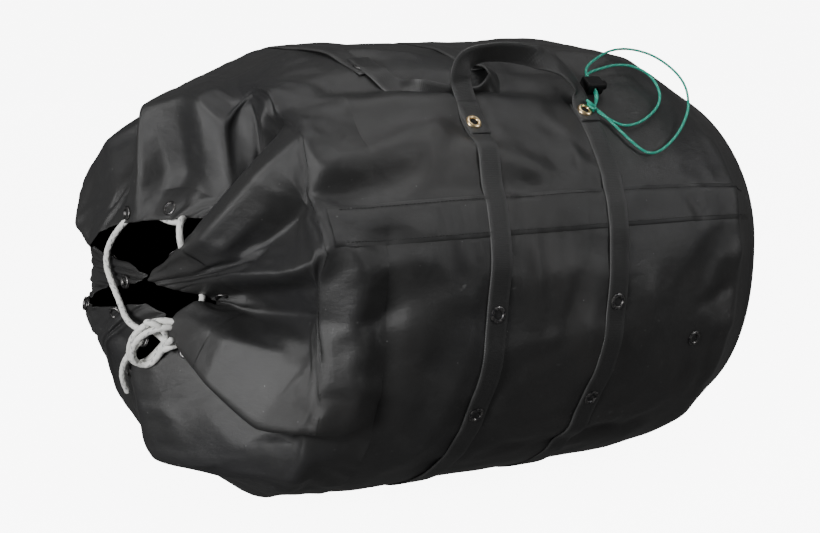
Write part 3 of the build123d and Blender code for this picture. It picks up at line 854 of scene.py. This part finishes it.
def band_strap(name, route):
    """Strap laid on the finished fabric along its route."""
    turns = np.arange(route[0][0], route[-1][0] - 0.01, -0.9)
    places = [on_skin(band_x(route, angle), angle) for angle in turns]
    spots, ups = np.array([p[0] for p in places]), np.array([p[1] for p in places])
    for _ in range(6):
        spots[1:-1] = (spots[:-2] + 2 * spots[1:-1] + spots[2:]) / 4
    across = unit(np.cross(ups, np.gradient(spots, axis=0)))
    return strip(name, spots + ups * 0.0009, across, ups, 0.0018, 0.4)


for number, route in enumerate(BAND_ROUTES, 1):
    strap = band_strap("strap_band_%d_webbing" % number, route)
    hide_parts("strap_band_%d" % number)
    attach(strap, "bag")

HINGE_LIFT, TAIL_LIFT = 6.5, 3.4
NEAR_MIDDLE, NEAR_ANGLE, NEAR_PLANE = 54.0, 47.5, -190.6
RIBBON_STEPS = 150


def smooth_line(points):
    """Smooth curve through given points, evenly spaced."""
    points = np.asarray(points, float)
    ends = np.concatenate([[2 * points[0] - points[1]], points, [2 * points[-1] - points[-2]]])
    dense = [curve_point(*ends[k:k + 4], t) for k in range(len(points) - 1)
             for t in np.linspace(0, 1, 16, endpoint=False)]
    dense = np.array(dense + [points[-1]])
    return even(dense, distances(dense)[-1] / RIBBON_STEPS)


def ribbon(name, points, facing):
    """Strap along given centres in millimetres, its flat side turned to the given directions."""
    line = smooth_line(points)
    tangents = unit(np.gradient(line, axis=0))
    across = unit(np.cross(smooth_line(facing), tangents))
    ups = np.cross(tangents, across)
    return strip(name, (line - ups * 1.1) / 1000, across, ups, 0.0022)


def tail_points(x, angles):
    """Places just above the strap band where a handle's sewn end lies."""
    places = [on_skin(x, angle) for angle in angles]
    return [spot * 1000 + up * TAIL_LIFT for spot, up in places], [up for _, up in places]


def face(tilt, swing):
    """Direction the strap's flat side faces: to the near side, tipped down, then swung round the upright."""
    t, w = math.radians(tilt), math.radians(swing)
    return np.array((math.cos(t) * math.sin(w), -math.cos(t) * math.cos(w), -math.sin(t)))


def near_handle_strap():
    """Loop that stands over the top edge of the near side, with its flat side to the viewer."""
    left, left_up = tail_points(-20, (36.6, 40.0, 43.4))
    right, right_up = tail_points(128, (44.6, 42.4, 39.6))
    loop, facing = [], []
    for x, z, tilt, swing in ((-22, 455, 5, 0), (-24, 470, 10, 0), (-16, 484, 20, 0), (8, 491, 34, 0),
                              (40, 491, 38, 0), (72, 486, 36, 0), (98, 477, 30, 30), (117, 463, 12, 62),
                              (128, 448, 0, 55)):
        loop.append(np.array((x, NEAR_PLANE, z)))
        facing.append(face(tilt, swing))
    return ribbon("handle_near_webbing", left + loop + right, left_up + facing + right_up)


def far_handle_strap():
    """Loop that lies flopped along the top and curls up on its edge towards its second root."""
    left, left_up = tail_points(-98, (68.5, 66.8, 64.5))
    flat, facing = [], []
    for x, angle, rise in ((-93, 60.5, 3), (-80, 55.5, 2), (-62, 51.0, 0), (-36, 49.0, -6), (-8, 49.0, -5),
                           (17, 50.5, 7), (33, 54.0, 13), (39, 58.5, 9)):
        spot, up = on_skin(x, angle)
        flat.append(spot * 1000 + up * rise)
        facing.append(up)
    for k, standing in enumerate((0, 0, 0, 0.1, 0.5, 0.85, 0.95, 0.5)):
        ahead = flat[min(k + 1, len(flat) - 1)] - flat[max(k - 1, 0)]
        side = np.cross(facing[k], unit(ahead))
        turn = math.radians(90 * standing)
        facing[k] = facing[k] * math.cos(turn) - side * math.sin(turn)
    right, right_up = tail_points(36, (63.8, 66.2, 68.0))
    return ribbon("handle_far_webbing", left + flat + right, left_up + facing + right_up)


near_handle = near_handle_strap()
far_handle = far_handle_strap()
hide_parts("handle_near")
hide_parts("handle_far")


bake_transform(near_handle)
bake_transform(far_handle)


# ---- stitched seams

LAP_STOPS = np.arange(-206.0, 344.0, 5.0)
LAP_ANGLES = (10.2, 10.5, 12.0, 14.0, 16.0, 18.0, 20.2, 20.5)
LAP_LIFTS = (0.0, 0.0009, 0.0009, 0.0009, 0.0009, 0.0009, 0.0009, 0.0)


def lap_strip(name):
    """Overlapped fabric lying on the skin, with its free edges turned down."""
    points = []
    for x in LAP_STOPS:
        for angle, lift in zip(LAP_ANGLES, LAP_LIFTS):
            spot, up = on_skin(x, angle)
            points.append(spot + up * lift)
    columns = len(LAP_ANGLES)
    lap_faces = [(a + c, a + c + 1, a + columns + c + 1, a + columns + c)
                 for a in range(0, len(points) - columns, columns) for c in range(columns - 1)]
    obj = new_object(name, points, lap_faces, FABRIC)
    unwrap(obj, columns, lambda row, column: (LAP_ANGLES[column] * ARC / 1000, LAP_STOPS[row] / 1000))
    return obj


HEM_DEPTH = 5


def skin_spot(row, column):
    """Point and outward direction of the fabric at a fractional row and column."""
    r, c = int(row), int(column)
    fr, fc = row - r, column - c
    upper, lower, above = SKIN_GRID[r], SKIN_GRID[r + 1], SKIN_GRID[max(r - 1, 0)]
    left, right, d = (c - 2) % COLUMNS, (c + 2) % COLUMNS, (c + 1) % COLUMNS
    spot = ((1 - fr) * (1 - fc) * upper[c] + fr * (1 - fc) * lower[c]
            + (1 - fr) * fc * upper[d] + fr * fc * lower[d])
    return spot, -unit(np.cross(upper[right] - upper[left], SKIN_GRID[r + 2][c] - above[c]))


# One stitch: share of its length and height in thread thicknesses.
STITCH = ((0.0, -0.4), (0.15, 0.6), (0.5, 0.9), (0.85, 0.6), (1.0, -0.4))


def stitches(name, spots, ups, length, gap, thread):
    """Row of stitches along a line: each is a short rounded thread that dips into the fabric at both ends."""
    run = distances(spots)
    points, out = [], []
    for k in range(int(run[-1] / (length + gap))):
        out += grid_faces(len(STITCH), 5, len(points))
        for share, high in STITCH:
            here = k * (length + gap) + share * length
            centre, up = at_distance(here, run, spots), at_distance(here, run, ups)
            side = unit(np.cross(up, at_distance(here + 0.0005, run, spots) - centre))
            for turn in np.radians((0, 72, 144, 216, 288)):
                rise = thread * high * 0.6 + thread / 2 * math.cos(turn)
                points.append(centre + up * rise + side * thread / 2 * math.sin(turn))
    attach(new_object(name, points, out, THREAD), "bag")


lap = lap_strip("lap_seam_fabric")
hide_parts("lap_seam")
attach(lap, "bag")
for number, angle in enumerate((11.4, 19.6), 1):
    found = [on_skin(x, angle) for x in np.arange(-194.0, 340.0, 3.0)]
    spots = np.array([spot + up * 0.0011 for spot, up in found])
    stitches("lap_stitches_%d" % number, spots, np.array([up for _, up in found]), 0.0032, 0.0011, 0.0008)


def ring_stitches(name, row_at, lift):
    """Stitches round the shell; row_at gives the row to follow at each angle."""
    found = [skin_spot(row_at(ANGLES[c % COLUMNS]), c % COLUMNS) for c in range(COLUMNS + 1)]
    spots = np.array([spot + up * lift for spot, up in found])
    stitches(name, spots, np.array([up for _, up in found]), 0.0034, 0.0012, 0.0007)


NECK_SEAM_X = -0.214
NECK_SEAM_ROW = int(np.argmin(np.abs(SKIN_GRID[:, :, 0].mean(axis=1) - NECK_SEAM_X)[:neck_count + 2]))


def seam_row(angle):
    """The neck seam swings towards the mouth under the bag and over its top."""
    under = float(step(-22.0, -70.0, angle)) if angle > -100 else 1.0
    over = float(step(52.0, 78.0, angle) * step(150.0, 120.0, angle))
    return NECK_SEAM_ROW - 6.0 * under - 4.0 * over


ring_stitches("neck_stitches_1", seam_row, 0.0005)
ring_stitches("neck_stitches_2", lambda angle: seam_row(angle) - 1.1, 0.0005)
ring_stitches("base_stitches", lambda angle: BODY_END - 2.0, 0.0005)
ring_stitches("hem_stitches", lambda angle: HEM_DEPTH - 0.2, 0.0016)

dress(DARK_METAL, "dark_eyelets_band_1", "dark_eyelets_band_2", "vent_eyelet", "brass_eyelet_far_1",
      "brass_eyelet_far_2")
dress(PLASTIC, "cord_lock_body", "cord_lock_plunger")
dress(SPRING_STEEL, "cord_lock_spring")


# ---- mouth hem and the eyelets

def revolved(profile, spot, up):
    """Points and faces of a ring turned round up, from a profile of radius and height in millimetres."""
    sides = 28
    up = unit(up)
    a = unit(np.cross(up, (0.31, 0.2, 0.93)))
    b = np.cross(up, a)
    points = []
    for angle in 2 * math.pi * np.arange(sides) / sides:
        ray = a * math.cos(angle) + b * math.sin(angle)
        points += [spot + (ray * radius + up * height) / 1000 for radius, height in profile]
    grid = grid_faces(sides + 1, len(profile))
    return points, [tuple(v % len(points) for v in f[::-1]) for f in grid]


EYELET_PROFILE = ((4.6, -1.4), (4.6, 0.8), (5.2, 1.7), (6.2, 2), (7.2, 1.6), (8, 0.5), (8, -0.2),
                  (5.6, -0.2), (5.6, -1.4))
WASHER_PROFILE = ((5, -2), (5.6, -1), (8, -1.2), (8, -1.9), (6, -2.4))
HEM_EYELET_ANGLES = (107.0, 88.0, 44.0, 1.5, -39.0, -60.0, -72.0, -104.0, -134.0, -176.0, -203.0)


def hem_rings(name, profile, node):
    """The hem's eyelets or washers as one piece."""
    points, out = [], []
    for angle in HEM_EYELET_ANGLES:
        column = float(np.interp((START_ANGLE - angle) % 360.0, CLOSED_TURNS, np.arange(COLUMNS + 1)))
        ring_points, ring_faces = revolved(profile, *skin_spot(1.6, column))
        out += [tuple(len(points) + v for v in f) for f in ring_faces]
        points += ring_points
    obj = new_object(name, points, out, DARK_METAL)
    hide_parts(node)
    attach(obj, "bag")


def hem_fold(name):
    """Doubled edge of the mouth: two skins that meet in a rounded fold."""
    edge = SKIN_GRID[:HEM_DEPTH + 1]
    along = np.roll(edge, -1, axis=1) - np.roll(edge, 1, axis=1)
    down = np.gradient(edge, axis=0)
    lifts = unit(np.cross(along, down)) * 0.0011
    lifts[HEM_DEPTH] *= 0.0003 / 0.0011
    rows = [*(edge + lifts)[::-1], edge[0] - unit(down[0]) * 0.0009, *(edge - lifts)]
    obj = new_object(name, np.concatenate(rows), grid_faces(len(rows), COLUMNS), NECK_FABRIC)
    unwrap(obj, COLUMNS, lambda row, column: (column % COLUMNS * 0.008, row * 0.008))
    soften(obj)
    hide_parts("mouth_hem")
    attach(obj, "bag")
    return obj


BRASS_PROFILE = ((4.2, -1.6), (4.2, 0.8), (4.8, 2), (6.2, 2.6), (7.8, 1.9), (8.7, 0.4), (8.7, -0.6),
                 (5.2, -0.6), (5.2, -1.6))
# The second profile is a flat disc inside each near brass eyelet, painted near-black as the shadow in its
# hole.
HOLE_SHADOW_PROFILE = ((0.3, 0.5), (2.2, 0.4), (4.4, 0.6), (4.4, 0.1), (0.3, 0.1))
BRASS_SPOTS = ((-22.0, 40.2), (127.0, 43.0))
for number, place in enumerate(BRASS_SPOTS, 1):
    spot, up = on_skin(*place)
    for kind, profile, material in (("rim", BRASS_PROFILE, BRASS), ("hole_shadow", HOLE_SHADOW_PROFILE, EYELET_HOLE_SHADOW)):
        ring_points, ring_faces = revolved(profile, spot + up * 0.0046, up)
        ring_piece = new_object("brass_eyelet_near_%d_%s" % (number, kind), ring_points, ring_faces, material)
        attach(ring_piece, "bag")
        if kind == "rim":
            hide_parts("brass_eyelet_near_%d" % number)

hem_piece = hem_fold("mouth_hem_fold")
hem_rings("hem_eyelet_rims", EYELET_PROFILE, "hem_eyelets")
hem_rings("hem_eyelet_washers", WASHER_PROFILE, "hem_washers")


# ---- the cords themselves

def knot_piece(name, route, diameter, material, look, node):
    """Knotted strands along a route."""
    obj = rope_mesh(name, nurbs_line(name, route), diameter, material, **look)
    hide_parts(node)
    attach(obj, "bag")
    return obj


def cord_piece(name, route, diameter, material, look, node, **facts):
    """Cord along a route; its facts are not used."""
    line = nurbs_line(name, route)
    obj = rope_mesh(name, line, diameter, material, **look)
    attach(obj, "bag")
    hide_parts(node)


# In the mouth's plane: across, height and out.
KNOT_ROUTE = (
    (44, 210, 14), (32, 216, 26), (14, 212, 35), (-4, 199, 38), (-16, 183, 35), (-23, 168, 28),
    (-20, 160, 19), (-8, 166, 13), (8, 182, 11), (24, 198, 12), (36, 207, 20), (30, 208, 32),
    (14, 202, 41), (-1, 189, 43), (-10, 174, 37), (-13, 163, 27), (-5, 160, 17), (7, 172, 14),
    (21, 188, 17), (30, 202, 26), (26, 212, 37), (14, 214, 40), (8, 206, 30), (14, 196, 20), (26, 190, 22),
    (36, 192, 28), (42, 197, 30),
)
TIE_ROUTE = (
    (141, -204, 430), (136, -207, 433), (132, -204, 437), (133, -199, 439), (138, -198, 436),
    (141, -203, 432), (139, -208, 429), (134, -209, 430), (131, -205, 434), (134, -200, 436),
    (140, -201, 433), (140, -205, 429), (135, -206, 426),
)
THICK = (DRAWCORD, WHITE_BRAID, dict(strands=4, spiral=0.0105, relief=0.17, sides=24, pitch=0.0009))
THIN = (LANYARD, TEAL_BRAID, dict(strands=4, spiral=0.004, relief=0.1, sides=12, pitch=0.0012))
knot = knot_piece("drawcord_knot_strands", [mouth_point(*p) for p in KNOT_ROUTE], *THICK, "drawcord_knot")
tie = knot_piece("lanyard_knot_turns", TIE_ROUTE, *THIN, "lanyard_knot")
cord_piece("drawcord_rope", DRAWCORD_ROUTE, *THICK, "drawcord",
           far_end="object", stiffness="medium", lay="taut", with_pieces=[knot])
cord_piece("drawcord_low_tail_rope", LOW_TAIL_ROUTE, *THICK, "drawcord_low_tail",
           far_end="object", stiffness="medium", lay="loose")
cord_piece("drawcord_cut_tail_rope", CUT_TAIL_ROUTE, *THICK, "drawcord_cut_tail",
           far_end="bare", stiffness="medium", lay="loose")
cord_piece("lanyard_outer_loop_cord", OUTER_LOOP_ROUTE, *THIN, "lanyard_outer_loop",
           far_end="object", stiffness="stiff", lay="loose", with_pieces=[tie])
cord_piece("lanyard_inner_loop_cord", INNER_LOOP_ROUTE, *THIN, "lanyard_inner_loop",
           far_end="object", stiffness="stiff", lay="loose")

for piece in (neck_piece, body_piece, base_piece):
    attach(piece, "bag")


# ---- floor, lights, background

PALE, AMBIENT = 8.0, 0.12
floor_look = bpy.data.materials.new("pale_floor")
floor_look.use_nodes = True
for key, value in (("Base Color", grey(0.9)), ("Roughness", 0.9), ("Emission Color", ALL),
                   ("Emission Strength", PALE)):
    floor_look.node_tree.nodes["Principled BSDF"].inputs[key].default_value = value
floor = new_object("floor", [(x, y, -0.001) for x, y in ((-9, -9), (9, -9), (9, 9), (-9, 9))], [(0, 1, 2, 3)],
                   floor_look)
floor.visible_diffuse = False
floor.visible_glossy = False


def area_light(name, place, aim, size, power):
    """White rectangular light at a place, turned to its aim."""
    data = bpy.data.lights.new(name, "AREA")
    data.shape = "RECTANGLE"
    data.size, data.size_y = size
    data.energy = power
    light = bpy.data.objects.new(name, data)
    SCENE.collection.objects.link(light)
    light.location = place
    light.rotation_euler = (Vector(place) - Vector(aim)).to_track_quat("Z", "Y").to_euler()


area_light("key", (-2.3, -1.0, 0.7), (-0.15, 0, 0.2), (0.7, 0.8), 62)
area_light("top", (0.1, -0.4, 2.4), (0, 0, 0.3), (1.6, 1.2), 20)
area_light("side", (1.5, -1.9, 1.3), (0.15, 0, 0.25), (0.6, 1.0), 20)

# The camera sees a pale background, and the object is lit by a dim one.
world = bpy.data.worlds.new("studio")
SCENE.world = world
world.use_nodes = True
nodes, links = world.node_tree.nodes, world.node_tree.links
path = nodes.new("ShaderNodeLightPath")
mix = nodes.new("ShaderNodeMixShader")
links.new(path.outputs["Is Camera Ray"], mix.inputs[0])
for socket, strength in ((1, AMBIENT), (2, PALE)):
    background = nodes.new("ShaderNodeBackground")
    background.inputs["Color"].default_value = ALL
    background.inputs["Strength"].default_value = strength
    links.new(background.outputs[0], mix.inputs[socket])
links.new(mix.outputs[0], nodes["World Output"].inputs["Surface"])
